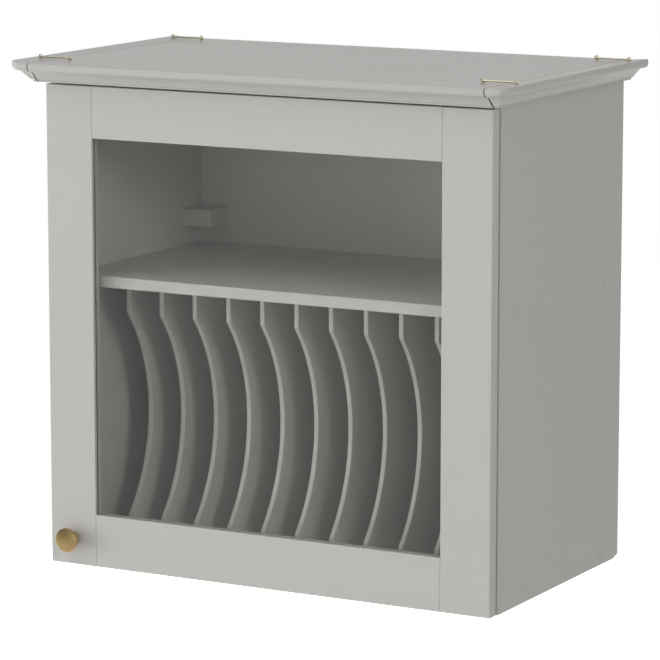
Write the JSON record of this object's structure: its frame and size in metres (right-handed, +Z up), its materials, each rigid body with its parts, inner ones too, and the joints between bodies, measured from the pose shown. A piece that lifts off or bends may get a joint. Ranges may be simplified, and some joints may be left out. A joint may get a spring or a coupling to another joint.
{
  "type": "kitchen wall cabinet",
  "caption": "Glazed wall cabinet with a framed glass door on concealed hinges, a shelf over an upright plate rack, and a moulded crown whose ends are held by wire hooks.",
  "frame": {"origin": "underside of the cabinet, at the middle of the rectangle that the crown covers", "axes": "+X along the front to the right as seen from the front, +Y into the wall, +Z up"},
  "size_m": [0.6636, 0.3872, 0.6201],
  "materials": {
    "carcass_paint": "warm grey satin paint over board",
    "back_board": "warm grey satin paint over thin board",
    "rack_paint": "warm grey satin paint over board",
    "crown_paint": "warm grey satin paint over moulded board",
    "door_paint": "warm grey satin paint over framed board",
    "glass": "clear flat glass",
    "brass": "satin brass with a fine turned grain",
    "steel": "bright plated steel",
    "wire": "plated steel wire",
    "zinc": "plain die-cast zinc",
    "beech": "bare beech",
    "grey_plastic": "matt warm grey plastic",
    "clear_rubber": "soft translucent pads"
  },
  "bodies": {
    "cabinet": {"back_panel": "back_board", "bottom_panel": "carcass_paint", "bracket_screws": "steel", "cam_bolts": "steel", "cam_locks": "zinc", "carcass_screws": "steel", "crown_centre_board": "crown_paint", "crown_dowels": "beech", "crown_left_board": "crown_paint", "crown_right_board": "crown_paint", "crown_screws": "steel", "dowels": "beech", "hinge_plates": "steel", "hinge_screws": "steel", "left_bracket_cover": "grey_plastic", "left_side_panel": "carcass_paint", "left_wall_bracket": "steel", "locating_pins": "steel", "lower_hinge_arm": "steel", "plate_divider_1": "rack_paint", "plate_divider_10": "rack_paint", "plate_divider_11": "rack_paint", "plate_divider_2": "rack_paint", "plate_divider_3": "rack_paint", "plate_divider_4": "rack_paint", "plate_divider_5": "rack_paint", "plate_divider_6": "rack_paint", "plate_divider_7": "rack_paint", "plate_divider_8": "rack_paint", "plate_divider_9": "rack_paint", "right_bracket_cover": "grey_plastic", "right_side_panel": "carcass_paint", "right_wall_bracket": "steel", "screw_caps": "grey_plastic", "screw_eyes": "wire", "shelf": "carcass_paint", "top_panel": "carcass_paint", "upper_hinge_arm": "steel"},
    "hinge_links": {"lower_hinge_link": "steel", "upper_hinge_link": "steel"},
    "door": {"door_left_stile": "door_paint", "door_right_stile": "door_paint", "door_top_rail": "door_paint", "door_bottom_rail": "door_paint", "glass_pane": "glass", "glazing_bead_bottom": "door_paint", "glazing_bead_top": "door_paint", "glazing_bead_left": "door_paint", "glazing_bead_right": "door_paint", "knob": "brass", "knob_screw": "steel", "door_bumpers": "clear_rubber", "cup_screws": "steel", "lower_hinge_cup": "steel", "upper_hinge_cup": "steel"},
    "hook_front_left": {"hook_front_left": "wire"},
    "hook_back_left": {"hook_back_left": "wire"},
    "hook_front_right": {"hook_front_right": "wire"},
    "hook_back_right": {"hook_back_right": "wire"}
  },
  "joints": [
    {"name": "link_swing", "type": "hinge", "parent": "cabinet", "child": "hinge_links", "pos_m": [0.2515, -0.13935, 0.2935], "axis": [0, 0, 1], "range_deg": [-39, 0]},
    {"name": "door_swing", "type": "hinge", "parent": "hinge_links", "child": "door", "pos_m": [0.2855, -0.14745, 0.2935], "axis": [0, 0, 1], "range_deg": [0, 143.85]},
    {"name": "hook_front_left_turn", "type": "hinge", "parent": "cabinet", "child": "hook_front_left", "pos_m": [-0.2772, -0.14305, 0.6172], "axis": [0, 0, 1], "range_deg": [0, 100]},
    {"name": "hook_back_left_turn", "type": "hinge", "parent": "cabinet", "child": "hook_back_left", "pos_m": [-0.2772, 0.16555, 0.6172], "axis": [0, 0, 1], "range_deg": [0, 100]},
    {"name": "hook_front_right_turn", "type": "hinge", "parent": "cabinet", "child": "hook_front_right", "pos_m": [0.3168, -0.14305, 0.6172], "axis": [0, 0, 1], "range_deg": [0, 100]},
    {"name": "hook_back_right_turn", "type": "hinge", "parent": "cabinet", "child": "hook_back_right", "pos_m": [0.3168, 0.16555, 0.6172], "axis": [0, 0, 1], "range_deg": [0, 100]}
  ],
  "couplings": [
    {"joint": "link_swing", "follows": "door_swing", "ratio": -0.27007}
  ]
}
